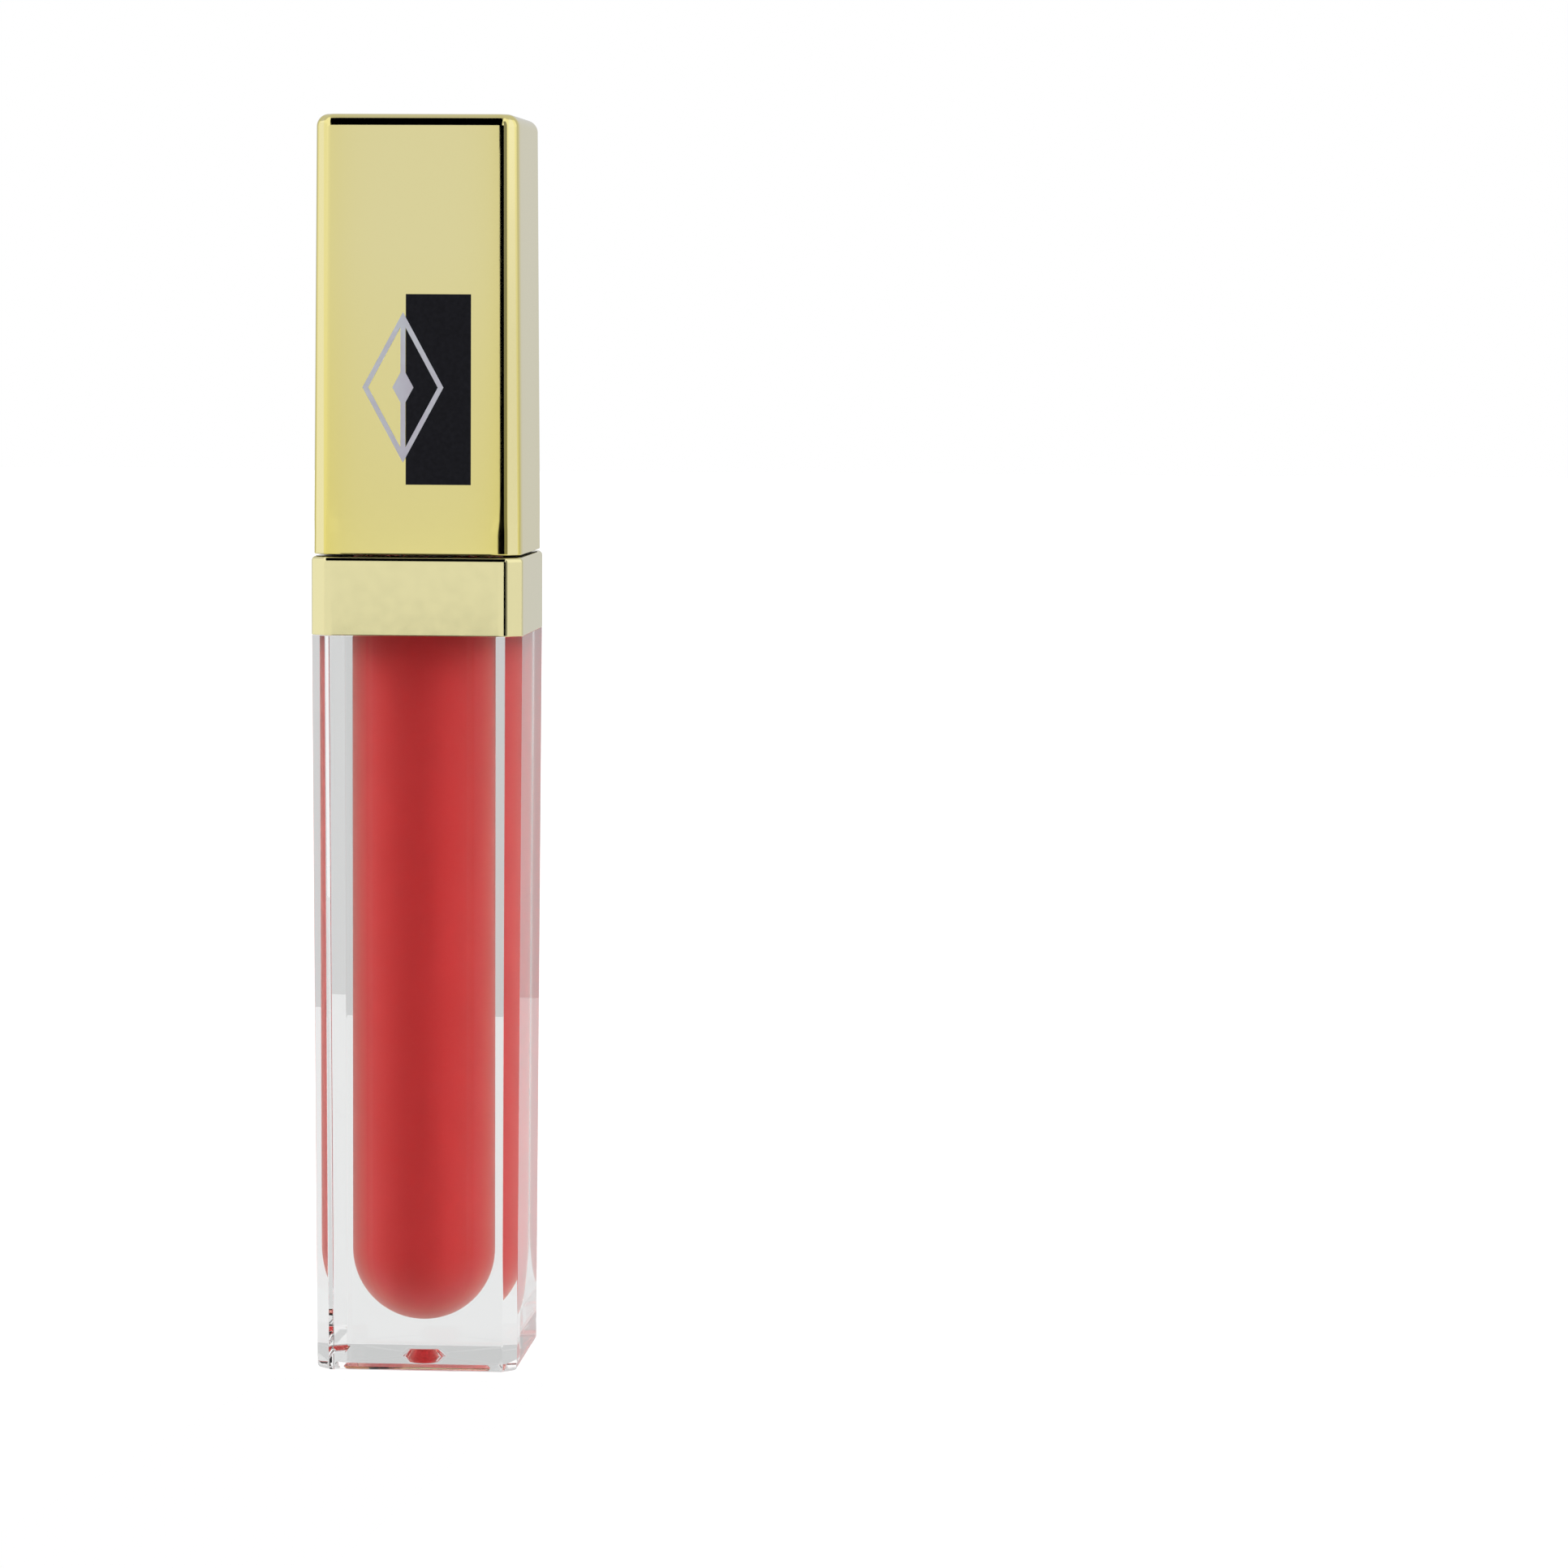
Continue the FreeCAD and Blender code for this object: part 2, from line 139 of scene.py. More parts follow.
def skin(name, rings, material, closed=False, cap_first=False, cap_last=False, sharp=40):
    """A mesh object that runs through the rings, given in millimetres.

    closed joins the last ring to the first; otherwise cap_first and cap_last close the two ends.
    """
    bm = bmesh.new()
    grid = [[bm.verts.new(p * MM) for p in ring] for ring in rings]
    pairs = list(zip(grid, grid[1:]))
    if closed:
        pairs.append((grid[-1], grid[0]))
    for low, high in pairs:
        count = len(low)
        for i in range(count):
            j = (i + 1) % count
            bm.faces.new((low[i], low[j], high[j], high[i]))
    if cap_first:
        bm.faces.new(grid[0][::-1])
    if cap_last:
        bm.faces.new(grid[-1])
    bmesh.ops.recalc_face_normals(bm, faces=bm.faces)
    return finish_mesh(name, bm, material, sharp)


def finish_mesh(name, bm, material, sharp):
    """A smooth-shaded object whose edges stay sharp from that angle up, in degrees."""
    mesh = bpy.data.meshes.new(name)
    bm.to_mesh(mesh)
    bm.free()
    for polygon in mesh.polygons:
        polygon.use_smooth = True
    mesh.set_sharp_from_angle(angle=math.radians(sharp))
    piece = bpy.data.objects.new(name, mesh)
    bpy.context.scene.collection.objects.link(piece)
    weighted = piece.modifiers.new("even_normals", "WEIGHTED_NORMAL")
    weighted.keep_sharp = True
    weighted.weight = 100
    mesh.materials.append(material)
    return piece


# ---------------------------------------------------------------- node helpers

def feed(tree, socket, value):
    """Gives an input a number, a colour or another node's output."""
    if isinstance(value, bpy.types.NodeSocket):
        tree.links.new(value, socket)
    elif isinstance(value, tuple):
        socket.default_value = (*value, 1)
    else:
        socket.default_value = value


def math_node(tree, operation, first, second):
    """The result of a math node on two numbers or outputs."""
    node = tree.nodes.new("ShaderNodeMath")
    node.operation = operation
    for socket, value in zip(node.inputs, (first, second)):
        feed(tree, socket, value)
    return node.outputs["Value"]


def product(tree, first, *others):
    for other in others:
        first = math_node(tree, "MULTIPLY", first, other)
    return first


def vector_node(tree, operation, vector, constant=(0, 0, 0)):
    """The number that a vector math node makes of a vector and a constant one."""
    node = tree.nodes.new("ShaderNodeVectorMath")
    node.operation = operation
    node.inputs[1].default_value = constant
    tree.links.new(vector, node.inputs[0])
    return node.outputs["Value"]


def split_xyz(tree, vector):
    """The outputs X, Y and Z of a vector."""
    node = tree.nodes.new("ShaderNodeSeparateXYZ")
    tree.links.new(vector, node.inputs["Vector"])
    return node.outputs


def object_place(tree):
    """Each point's place in its object's own space, in metres."""
    return tree.nodes.new("ShaderNodeTexCoord").outputs["Object"]


def stretched(tree, vector, scale):
    node = tree.nodes.new("ShaderNodeMapping")
    node.inputs["Scale"].default_value = scale
    tree.links.new(vector, node.inputs["Vector"])
    return node.outputs["Vector"]


def noise(tree, scale, detail=2.0, stretch=(1, 1, 1)):
    """Noise in object space, in features per metre."""
    texture = tree.nodes.new("ShaderNodeTexNoise")
    texture.inputs["Scale"].default_value = scale
    texture.inputs["Detail"].default_value = detail
    tree.links.new(stretched(tree, object_place(tree), stretch), texture.inputs["Vector"])
    return texture.outputs["Fac"]


def ramp(tree, fac, stops):
    """A colour ramp with (position, colour) stops."""
    node = tree.nodes.new("ShaderNodeValToRGB")
    elements = node.color_ramp.elements
    while len(elements) < len(stops):
        elements.new(0.5)
    for element, (position, colour) in zip(elements, stops):
        element.position = position
        element.color = (*colour, 1)
    tree.links.new(fac, node.inputs["Fac"])
    return node.outputs["Color"]


def grain(tree, scale, detail, low, high, span=(0.3, 0.7)):
    """Noise that runs from one number or colour to another, over that span of its strength."""
    colours = [value if isinstance(value, tuple) else (value,) * 3 for value in (low, high)]
    return ramp(tree, noise(tree, scale, detail), list(zip(span, colours)))


def blend_colours(tree, fac, first, second):
    node = tree.nodes.new("ShaderNodeMix")
    node.data_type = "RGBA"
    tree.links.new(fac, node.inputs["Factor"])
    colours = [s for s in node.inputs if s.type == "RGBA"]
    for socket, value in zip(colours, (first, second)):
        feed(tree, socket, value)
    return [s for s in node.outputs if s.type == "RGBA"][0]


def unless_camera(tree, value):
    """1 for rays straight from the camera, and the number or output given for all others."""
    path = tree.nodes.new("ShaderNodeLightPath")
    level = tree.nodes.new("ShaderNodeMapRange")
    tree.links.new(path.outputs["Is Camera Ray"], level.inputs["Value"])
    feed(tree, level.inputs["To Min"], value)
    level.inputs["To Max"].default_value = 1.0
    return level.outputs["Result"]


# ---------------------------------------------------------------- materials

CAP_PALE = (0.87, 0.795, 0.415)
CAP_DEEP = (0.82, 0.715, 0.205)
COLLAR_PALE = (0.835, 0.775, 0.425)
COLLAR_DEEP = (0.845, 0.785, 0.435)
CLEAR_TINT = (0.985, 0.997, 0.995)
CREAM_DARK = (0.75, 0.022, 0.028)
CREAM_LIGHT = (0.78, 0.026, 0.033)
CREAM_SHEEN = (1.0, 0.82, 0.72)
FILM_DARK = (0.56, 0.038, 0.040)
FILM_LIGHT = (0.66, 0.055, 0.055)
SMEAR_RED = (0.60, 0.045, 0.045)
STEM_BLACK = (0.012, 0.012, 0.013)
WIPER_WHITE = (0.80, 0.80, 0.77)
INK_DARK = (0.006, 0.006, 0.009)
INK_LIGHT = (0.010, 0.010, 0.014)
FOIL_DARK = (0.60, 0.58, 0.66)
FOIL_LIGHT = (0.66, 0.68, 0.74)
FIBRE_STAINED = (0.66, 0.20, 0.18)
FIBRE_PALE = (0.86, 0.46, 0.42)
# bare plastic in the cap's pocket, and painted shade of the gap over the collar at its mouth
BARE_PLASTIC_AND_GAP_SHADE = (0.030, 0.027, 0.020)

RED_SCATTER = (0.8, 0.15, 0.12)  # how far red, green and blue travel under the surface
PALE_SCATTER = (1.0, 0.95, 0.9)

TINT_HALF_WIDTH = 7.9  # where the cap's faces end and its corner faces begin
TINT_AT_EDGE = 0.50
TINT_AT_MOUTH = 0.50
TINT_FROM_Z = 96.0  # where the tint starts to deepen downwards
TINT_REACH = 26.0
TINT_WOBBLE = 0.10
SMEAR_TOP_Z = 58.0  # where the cream on the wand's stem fades out
SMEAR_SHARE = 0.42


def new_material(name):
    """A material, its node tree and its shader."""
    material = bpy.data.materials.new(name)
    material.use_nodes = True
    tree = material.node_tree
    return material, tree, tree.nodes["Principled BSDF"]


def set_inputs(tree, shader, inputs):
    for name, value in inputs.items():
        feed(tree, shader.inputs[name], value)


def add_bump(tree, shader, height, strength, distance):
    """Bump from a height output; distance is in millimetres."""
    bump = tree.nodes.new("ShaderNodeBump")
    bump.inputs["Strength"].default_value = strength
    bump.inputs["Distance"].default_value = distance * MM
    tree.links.new(height, bump.inputs["Height"])
    tree.links.new(bump.outputs["Normal"], shader.inputs["Normal"])


def add_scatter(shader, weight, radius, scale):
    """Light that travels under the surface; scale is in millimetres."""
    shader.inputs["Subsurface Weight"].default_value = weight
    shader.inputs["Subsurface Radius"].default_value = radius
    shader.inputs["Subsurface Scale"].default_value = scale * MM


def faint_patches(tree):
    return noise(tree, 60)


def depth_of_tint(tree):
    """Grows from the middle of each face to its edges and from the cap's top to its mouth.

    The narrow corner faces stay pale.
    """
    place = split_xyz(tree, object_place(tree))
    x = math_node(tree, "ABSOLUTE", place["X"], 0.0)
    y = math_node(tree, "ABSOLUTE", place["Y"], 0.0)
    aside = math_node(tree, "DIVIDE", math_node(tree, "MINIMUM", x, y), TINT_HALF_WIDTH * MM)
    square = product(tree, aside, aside)
    edge = product(tree, square, square, TINT_AT_EDGE)
    on_face = ramp(tree, aside, [(0.985, WHITE), (1.0, BLACK)])
    below = math_node(tree, "SUBTRACT", TINT_FROM_Z * MM, place["Z"])
    down = math_node(tree, "MAXIMUM", math_node(tree, "DIVIDE", below, TINT_REACH * MM), 0.0)
    wobble = product(tree, faint_patches(tree), TINT_WOBBLE)
    total = math_node(tree, "ADD", edge, product(tree, down, TINT_AT_MOUTH))
    return product(tree, math_node(tree, "ADD", total, wobble), on_face)


def gold_plating(name, depth, pale, deep):
    """Vacuum-metallised plastic: a mirror that keeps the moulding's slight waves."""
    material, tree, shader = new_material(name)
    set_inputs(tree, shader, {
        "Metallic": 1.0,
        "Base Color": ramp(tree, depth(tree), [(0.0, pale), (1.0, deep)]),
        "Roughness": grain(tree, 900, 3, 0.060, 0.090, (0.35, 0.75)),
    })
    add_bump(tree, shader, noise(tree, 110, 1.0), 0.16, 0.06)
    return material


def clear_plastic():
    """Thick clear plastic, with the faint waves that the mould leaves."""
    material, tree, shader = new_material("clear_plastic")
    set_inputs(tree, shader, {
        "Base Color": CLEAR_TINT,
        "Transmission Weight": 1.0,
        "IOR": 1.50,
        "Roughness": grain(tree, 500, 3, 0.0, 0.012, (0.3, 0.8)),
    })
    add_bump(tree, shader, noise(tree, 90, 1.0), 0.15, 0.03)
    return material


def gloss_cream():
    """The opaque coral red cream as it shows through the plastic that it touches."""
    material, tree, shader = new_material("gloss_cream")
    set_inputs(tree, shader, {
        "Base Color": grain(tree, 140, 3, CREAM_DARK, CREAM_LIGHT),
        "Roughness": 0.35,
        "Specular IOR Level": 0.0,
        "Sheen Weight": 0.95,
        "Sheen Roughness": 0.58,
        "Sheen Tint": CREAM_SHEEN,
    })
    add_scatter(shader, 0.15, RED_SCATTER, 1.0)
    return material


def cream_film():
    """The cream in the open air: the same red, glossy and wet."""
    material, tree, shader = new_material("cream_film")
    set_inputs(tree, shader, {
        "Base Color": grain(tree, 700, 3, FILM_DARK, FILM_LIGHT),
        "Roughness": grain(tree, 900, 2, 0.10, 0.20),
    })
    add_scatter(shader, 0.10, RED_SCATTER, 1.0)
    add_bump(tree, shader, noise(tree, 900, 2), 0.35, 0.04)
    return material


def moulded(name, colour, roughness, scatter=0.0):
    """Moulded plastic with a fine grain."""
    material, tree, shader = new_material(name)
    darker = tuple(c * 0.93 for c in colour)
    set_inputs(tree, shader, {
        "Base Color": grain(tree, 220, 4, darker, colour),
        "Roughness": grain(tree, 1200, 3, roughness * 0.85, roughness * 1.15),
    })
    if scatter:
        add_scatter(shader, scatter, PALE_SCATTER, 2.0)
    add_bump(tree, shader, noise(tree, 1500, 2), 0.2, 0.01)
    return material


def smeared_stem():
    """Black plastic with the thin streaks of cream that the wiper leaves on its lower half."""
    material, tree, shader = new_material("stem_black")
    height = math_node(tree, "DIVIDE", split_xyz(tree, object_place(tree))["Z"], SMEAR_TOP_Z * MM)
    streaks = noise(tree, 900, 4, (1, 1, 0.12))
    amount = math_node(tree, "SUBTRACT", math_node(tree, "ADD", streaks, SMEAR_SHARE), height)
    smear = ramp(tree, amount, [(0.42, BLACK), (0.56, WHITE)])
    set_inputs(tree, shader, {
        "Base Color": blend_colours(tree, smear, STEM_BLACK, SMEAR_RED),
        "Roughness": grain(tree, 1200, 3, 0.14, 0.22),
    })
    add_bump(tree, shader, smear, 0.3, 0.03)
    return material


def stained_wiper():
    """Soft natural plastic, stained with cream round the hole that the wand runs through."""
    material, tree, shader = new_material("soft_natural")
    sideways = stretched(tree, object_place(tree), (1, 1, 0))
    radius = math_node(tree, "DIVIDE", vector_node(tree, "LENGTH", sideways), NECK_BORE_RADIUS * MM)
    uneven = product(tree, noise(tree, 600, 3), 0.25)
    stain = ramp(tree, math_node(tree, "ADD", radius, uneven), [(0.84, WHITE), (1.02, BLACK)])
    set_inputs(tree, shader, {
        "Base Color": blend_colours(tree, stain, WIPER_WHITE, SMEAR_RED),
        "Roughness": 0.4,
    })
    add_scatter(shader, 0.2, PALE_SCATTER, 2.0)
    return material


def black_ink():
    """Black pad print."""
    material, tree, shader = new_material("black_ink")
    set_inputs(tree, shader, {
        "Base Color": grain(tree, 3000, 2, INK_DARK, INK_LIGHT),
        "Roughness": grain(tree, 2500, 3, 0.30, 0.42),
        "Specular IOR Level": 0.12,
    })
    return material


def silver_foil():
    """Silver print, partly metal and partly grey."""
    material, tree, shader = new_material("silver_foil")
    set_inputs(tree, shader, {
        "Metallic": 0.35,
        "Base Color": grain(tree, 400, 2, FOIL_DARK, FOIL_LIGHT),
        "Roughness": grain(tree, 3500, 2, 0.32, 0.45),
    })
    return material


def flock_fibre():
    """Pale nylon fibres, stained by the cream."""
    material, tree, shader = new_material("flock_fibre")
    set_inputs(tree, shader, {
        "Base Color": grain(tree, 2600, 3, FIBRE_STAINED, FIBRE_PALE),
        "Roughness": 0.75,
        "Sheen Weight": 0.4,
    })
    add_bump(tree, shader, noise(tree, 4500, 3), 0.6, 0.08)
    return material


CAP_GOLD = gold_plating("cap_gold", depth_of_tint, CAP_PALE, CAP_DEEP)
COLLAR_GOLD = gold_plating("collar_gold", faint_patches, COLLAR_PALE, COLLAR_DEEP)
CLEAR = clear_plastic()
CREAM = gloss_cream()
CREAM_FILM = cream_film()
FLOCK = flock_fibre()


# ---------------------------------------------------------------- the gold-coloured shells

CAP_BLEND = 0.95
CAP_LEAD = (9.0, math.radians(5))
CAP_FOOT_TURN = math.radians(1.7)  # how much more the flats turn near the mouth
CAP_FOOT_Z = 73.4  # where that starts, downwards
CAP_FOOT_REACH = 1.6
CAP_WALL_ZS = (
    70.20, 70.27, 71.0, 71.8, 72.2, 72.6, 73.0, 73.4, 75.0,
    78.0, 84.0, 90.0, 96.0, 101.0, 104.0, 105.5, 106.2,
)
CAP_TOP_BLEND = 1.05
CAP_MOUTH_BLEND = 0.10
CAP_ROOF = 1.2
CAP_POCKET = ((15.50, 1.00), (15.10, 0.90))  # its outlines at the mouth and at the roof
CAP_POCKET_ZS = (TOTAL_Z - CAP_ROOF, 95.0, 84.0, CAP_MOUTH_Z + 0.05, CAP_MOUTH_Z)
CAP_POCKET_REACH = 7.8  # between the pocket's wall and the outside

COLLAR_BLEND = 0.50
COLLAR_LEAD = (8.0, math.radians(4))
COLLAR_WALL_ZS = (63.28, 63.36, 64.5, 66.0, 67.5, 69.0, 69.5)
COLLAR_RIM = 0.42
COLLAR_FOOT_BLEND = 0.06
COLLAR_CEILING = 1.2
COLLAR_SOCKET = (16.10, 1.05)
COLLAR_HOLE = NECK_RADIUS + 0.10


def make_cap_shell():
    """The plated outside, with bare dark plastic in its pocket, and the same dark at its mouth as painted
    shade of the thin gap over the collar.
    """
    height = TOTAL_Z - CAP_MOUTH_Z

    def wall(z, inset=0.0):
        side, corner = outline_between(CAP_MOUTH, CAP_TOP, (z - CAP_MOUTH_Z) / height)
        turn = CAP_LEAD[1] + CAP_FOOT_TURN * smooth(clamp((CAP_FOOT_Z - z) / CAP_FOOT_REACH))
        return square_ring(side, corner, z, CAP_BLEND, inset, (CAP_LEAD[0], turn))

    def pocket(z):
        side, corner = outline_between(*CAP_POCKET, (z - CAP_MOUTH_Z) / (height - CAP_ROOF))
        return square_ring(side, corner, z)

    rings = [pocket(z) for z in CAP_POCKET_ZS]
    for inset, rise in reversed(blend_steps(CAP_MOUTH_BLEND, 3)):
        rings.append(wall(CAP_MOUTH_Z + CAP_MOUTH_BLEND - rise, inset))
    rings += [wall(z) for z in CAP_WALL_ZS]
    for inset, rise in blend_steps(CAP_TOP_BLEND, 12):
        rings.append(wall(TOTAL_Z - CAP_TOP_BLEND + rise, inset))
    shell = skin("cap_shell_plated", rings, CAP_GOLD, cap_first=True, cap_last=True)

    # Dark plastic: bare in the pocket, and painted shade of the gap over the collar at the mouth.
    shell.data.materials.append(moulded("bare_plastic_and_gap_shade", BARE_PLASTIC_AND_GAP_SHADE, 0.5))
    for face in shell.data.polygons:
        at = face.center / MM
        in_pocket = max(abs(at.x), abs(at.y)) < CAP_POCKET_REACH and at.z < TOTAL_Z - CAP_ROOF / 2
        # The mouth's underside is painted dark: painted shade of the thin gap over the collar.
        mouth_in_painted_shade = at.z < CAP_MOUTH_Z + CAP_MOUTH_BLEND / 5
        if in_pocket or mouth_in_painted_shade:
            face.material_index = 1
    return shell


def make_collar():
    """The plated collar, with the socket for the bottle's shoulder and the hole for its neck."""
    def wall(z, inset=0.0):
        return square_ring(*COLLAR, z, COLLAR_BLEND, inset, COLLAR_LEAD)

    def socket(z):
        return square_ring(*COLLAR_SOCKET, z)

    ceiling = COLLAR_TOP_Z - COLLAR_CEILING
    rings = [round_ring(COLLAR_HOLE, ceiling, socket(0)), socket(ceiling), socket(BODY_TOP_Z)]
    for inset, rise in reversed(blend_steps(COLLAR_FOOT_BLEND, 3)):
        rings.append(wall(BODY_TOP_Z + COLLAR_FOOT_BLEND - rise, inset))
    rings += [wall(z) for z in COLLAR_WALL_ZS]
    for inset, rise in blend_steps(COLLAR_RIM, 8):
        rings.append(wall(COLLAR_TOP_Z - COLLAR_RIM + rise, inset))
    rings.append(round_ring(COLLAR_HOLE, COLLAR_TOP_Z, socket(0)))
    return skin("collar_plated", rings, COLLAR_GOLD, closed=True)


# ---------------------------------------------------------------- bottle and filling

BODY_BLEND = 0.14
BODY_TOP_BLEND = 0.05
BODY_ZS = (4, 10, 20, 30, 40, 50, 60, BODY_TOP_Z - BODY_TOP_BLEND)
BASE_BLEND = 0.40
FOOT_RECESS = (13.90, 0.85)
FOOT_RECESS_DEPTH = 0.45
GATE_RADIUS = 2.15
GATE_DEPTH = 0.65
GATE_SLOPE = math.radians(40)
GATE_BLEND = 0.50
GATE_STEPS = 6
SHOULDER_BLEND = 0.4

NECK_STEP = 0.1  # the height between two rings
NECK_LIP_BLEND = 0.3
BORE_FOOT_Z = SHOULDER_TOP_Z + 0.4  # from here down the bore widens to the cavity
THREAD_START_Z = 72.00
THREAD_PITCH = 2.50
THREAD_SWEEP = 2 * math.pi * 1.50
THREAD_FADE = 0.35  # radians, at both ends
THREAD_DEPTH = 0.75
THREAD_ROOT = 1.40
THREAD_CREST = 0.60
BEAD_PROUD = 0.50
BEAD_FOOT = 0.02  # over the collar, as is its top
BEAD_TOP = 0.70
BEAD_RISE = 0.10
BEAD_FALL = 0.45

CAVITY_STEPS = 28
CAVITY_FIRST = 0.35  # the size of the innermost ring, in steps
CAVITY_ZS = (20, 35, 50, 60)
CAVITY_TOP_Z = GLOSS_LEVEL_Z + 0.3
GLOSS_OVERLAP = 0.02  # how far the filling reaches into the plastic, so that no air shows between
CHANNEL_END_Z = 5.2
CHANNEL_CHAMFER = 0.5


def neck_radius_at(bearing, z):
    """The neck's outside: the collar's snap bead, and one helical ridge that fades at its two ends."""
    over = z - COLLAR_TOP_Z
    rise = max((over - BEAD_FOOT) / BEAD_RISE, 0.0)
    fall = max((BEAD_TOP - over) / BEAD_FALL, 0.0)
    height = BEAD_PROUD * min(rise, fall, 1.0)
    for turn in range(3):
        swept = bearing + 2 * math.pi * turn
        if swept > THREAD_SWEEP:
            continue
        away = abs(z - (THREAD_START_Z + THREAD_PITCH * swept / (2 * math.pi)))
        flank = clamp((THREAD_ROOT / 2 - away) / ((THREAD_ROOT - THREAD_CREST) / 2))
        fade_in = min(swept / THREAD_FADE, 1.0)
        fade_out = min((THREAD_SWEEP - swept) / THREAD_FADE, 1.0)
        height = max(height, THREAD_DEPTH * flank * fade_in * fade_out)
    return NECK_RADIUS + height


def body_wall(z, inset=0.0):
    side, corner = outline_between(BODY_BASE, BODY_TOP, z / BODY_TOP_Z)
    return square_ring(side, corner, z, BODY_BLEND, inset)


def foot_rings(like):
    """The dimple that the mould's gate left, the shallow recess round it, and the rim."""
    roof = FOOT_RECESS_DEPTH + GATE_DEPTH
    flat = GATE_RADIUS - GATE_BLEND * math.sin(GATE_SLOPE)
    flat -= (GATE_DEPTH - GATE_BLEND * (1 - math.cos(GATE_SLOPE))) / math.tan(GATE_SLOPE)
    rings = [round_ring(flat * 0.5, roof, like)]
    for i in range(GATE_STEPS + 1):
        a = GATE_SLOPE * i / GATE_STEPS
        radius = flat + GATE_BLEND * math.sin(a)
        rings.append(round_ring(radius, roof - GATE_BLEND * (1 - math.cos(a)), like))
    rings.append(round_ring(GATE_RADIUS, FOOT_RECESS_DEPTH, like))
    side, corner = FOOT_RECESS
    rings.append(square_ring(side, corner, FOOT_RECESS_DEPTH))
    rings.append(square_ring(side + 2 * FOOT_RECESS_DEPTH, corner, 0))
    for inset, rise in reversed(blend_steps(BASE_BLEND, 12)):
        rings.append(body_wall(BASE_BLEND - rise, inset))
    return rings


def shoulder_rings():
    """The body's upper edge and the smaller square that the collar sits on."""
    rings = [body_wall(BODY_TOP_Z, BODY_TOP_BLEND)]
    top = SHOULDER_TOP_Z - SHOULDER_BLEND
    rings.append(square_ring(*SHOULDER, BODY_TOP_Z))
    rings.append(square_ring(*SHOULDER, top))
    for inset, rise in blend_steps(SHOULDER_BLEND, 4)[1:]:
        rings.append(square_ring(*SHOULDER, top + rise, inset=inset))
    return rings


def neck_rings(like):
    """The neck with its bead and thread, its lip, and the bore down to the cavity."""
    rings = []
    lip = NECK_TOP_Z - NECK_LIP_BLEND
    z = SHOULDER_TOP_Z
    while z < lip:
        ring = round_ring(1.0, z, like)
        for p in ring:
            bearing = math.atan2(p.y, p.x) % (2 * math.pi)
            radius = neck_radius_at(bearing, z)
            p.x *= radius
            p.y *= radius
        rings.append(ring)
        z += NECK_STEP
    for inset, rise in blend_steps(NECK_LIP_BLEND, 5):
        rings.append(round_ring(NECK_RADIUS - inset, lip + rise, like))
    rings.append(round_ring(NECK_BORE_RADIUS, NECK_TOP_Z, like))
    rings.append(round_ring(NECK_BORE_RADIUS, BORE_FOOT_Z, like))
    return rings


def cavity_rings(like, grow, top):
    """Rings of the cavity from its floor up, swollen by grow."""
    radius = CAVITY_RADIUS + grow
    centre = CAVITY_FLOOR_Z + CAVITY_RADIUS
    rings = []
    for i in range(CAVITY_STEPS + 1):
        a = math.pi / 2 * (i + CAVITY_FIRST) / (CAVITY_STEPS + CAVITY_FIRST)
        rings.append(round_ring(radius * math.sin(a), centre - radius * math.cos(a), like))
    for z in (*CAVITY_ZS, top):
        rings.append(round_ring(radius, z, like))
    return rings


def make_bottle():
    """The clear moulding: up its outside from the gate, over the neck's lip, and down the inside."""
    like = body_wall(0)
    rings = foot_rings(like)
    rings += [body_wall(z) for z in BODY_ZS]
    rings += shoulder_rings()
    rings += neck_rings(like)
    rings += reversed(cavity_rings(like, 0.0, CAVITY_TOP_Z))
    return skin("bottle_moulding", rings, CLEAR, cap_first=True, cap_last=True)


def make_gloss():
    """The filling, with the way that it leaves for the wand."""
    like = body_wall(0)
    rings = cavity_rings(like, GLOSS_OVERLAP, GLOSS_LEVEL_Z)
    rings.append(round_ring(CHANNEL_RADIUS, GLOSS_LEVEL_Z, like))
    rings.append(round_ring(CHANNEL_RADIUS, CHANNEL_END_Z + CHANNEL_CHAMFER, like))
    rings.append(round_ring(CHANNEL_RADIUS - CHANNEL_CHAMFER, CHANNEL_END_Z, like))
    return skin("gloss_filling", rings, CREAM, cap_first=True, cap_last=True)


# ---------------------------------------------------------------- the wand's tip

STEM_RADIUS = 1.95
STEM_END_Z = 17.80
SLANT_LOW = (0.585, 5.50)  # (y, z) of the flat face's two ends
SLANT_HIGH = (-1.95, 13.70)
TIP_PROFILE = (  # (start, middle, end) of each arc, as (radius, z)
    ((0.0, 5.50), (0.967, 5.959), (1.427, 7.011)),
    ((1.427, 7.011), (1.8915, 8.50), (1.95, 10.70)),
    ((1.95, 10.70), (1.833, 13.90), (1.45, 17.80)),
)
TIP_STEPS = (18, 16, 26)
TIP_AROUND = 72
NARROWEST_RING = 0.03

FLOCK_RIPPLE = 0.02
FLOCK_GRAIN = 0.012
FIBRE_LENGTH = 0.17
FIBRE_LENGTHS = (0.75, 0.98)  # the shortest and the longest, in that unit
FIBRE_HALF_WIDTH = 0.013
FIBRE_LEAN = 0.35
FIBRES_PER_MM2 = 95
COAT_THICKNESS = 0.05
COAT_EDGE_Z = 13.2
COAT_EDGE_WAVES = (1.0, 0.35)  # the slow wave of that edge and the quick one
COAT_TOP_Z = 15.6
COAT_SINK = 0.25  # how deep the film dives under the fibres above its edge
COAT_FADE = (0.9, 1.4)  # how far under its edge that starts, and over what height
FIBRES_FROM_Z = COAT_EDGE_Z - 3.0


